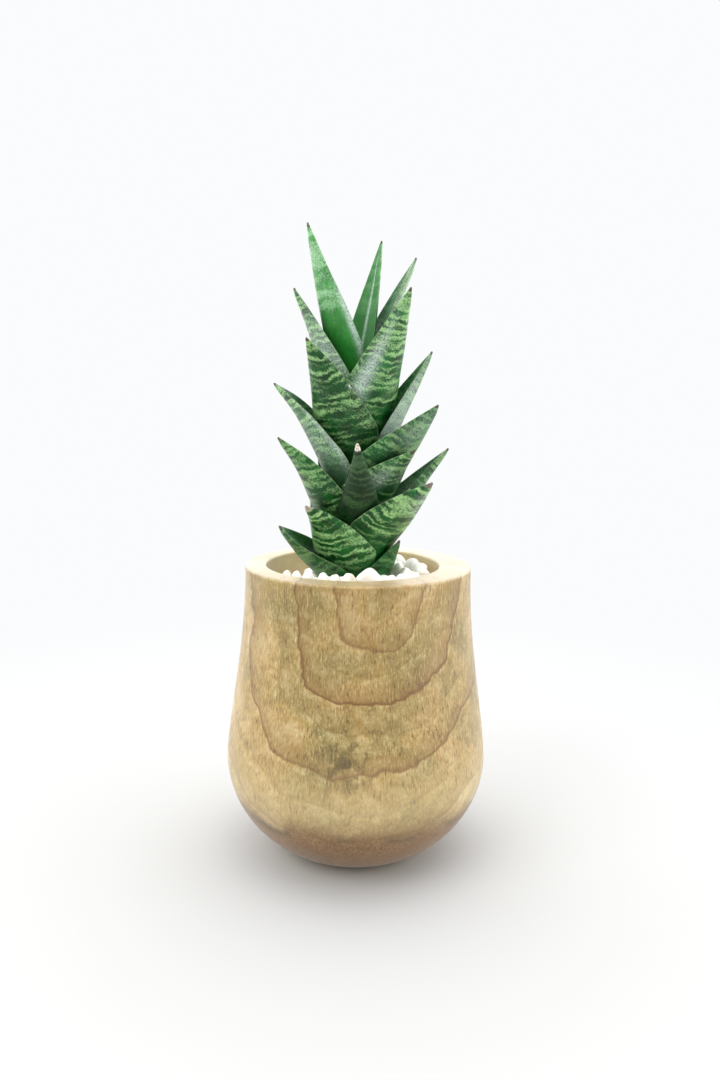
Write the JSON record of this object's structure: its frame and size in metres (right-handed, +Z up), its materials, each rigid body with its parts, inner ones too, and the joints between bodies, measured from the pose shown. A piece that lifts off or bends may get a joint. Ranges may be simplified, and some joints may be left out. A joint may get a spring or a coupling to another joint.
{
  "type": "potted snake plant",
  "caption": "Compact rosette succulent with pointed, cupped, cross-banded leaves, in a rounded turned-wood pot dressed with pale pebbles.",
  "frame": {"origin": "centre of the pot's foot, on the surface that the pot stands on", "axes": "+Z up along the pot's axis and the stem, -Y towards the plant's best side, +X to the right of it"},
  "size_m": [0.11, 0.11, 0.2554],
  "materials": {
    "wood": "satin",
    "soil": "matte",
    "pebble": "matte",
    "stem": "matte",
    "leaf": "satin",
    "leaf_young": "satin"
  },
  "bodies": {
    "root": {"pot": "wood", "soil": "soil", "gravel_bed": "pebble", "stem": "stem", "leaf_01": "leaf", "leaf_02": "leaf", "leaf_03": "leaf", "leaf_04": "leaf", "leaf_05": "leaf", "leaf_06": "leaf", "leaf_07": "leaf", "leaf_08": "leaf", "leaf_09": "leaf", "leaf_10": "leaf", "leaf_11": "leaf", "leaf_12": "leaf", "leaf_13": "leaf", "leaf_14": "leaf", "leaf_15": "leaf", "leaf_16": "leaf", "leaf_17": "leaf", "leaf_18": "leaf", "leaf_19": "leaf", "leaf_20": "leaf", "leaf_21": "leaf", "leaf_22": "leaf", "leaf_23": "leaf", "leaf_24": "leaf", "leaf_25": "leaf_young", "leaf_26": "leaf_young", "pebble_01": "pebble", "pebble_02": "pebble", "pebble_03": "pebble", "pebble_04": "pebble", "pebble_05": "pebble", "pebble_06": "pebble", "pebble_07": "pebble", "pebble_08": "pebble", "pebble_09": "pebble", "pebble_10": "pebble", "pebble_11": "pebble", "pebble_12": "pebble", "pebble_13": "pebble", "pebble_14": "pebble", "pebble_15": "pebble", "pebble_16": "pebble", "pebble_17": "pebble", "pebble_18": "pebble", "pebble_19": "pebble", "pebble_20": "pebble", "pebble_21": "pebble", "pebble_22": "pebble", "pebble_23": "pebble", "pebble_24": "pebble", "pebble_25": "pebble", "pebble_26": "pebble", "pebble_27": "pebble", "pebble_28": "pebble"}
  },
  "joints": []
}
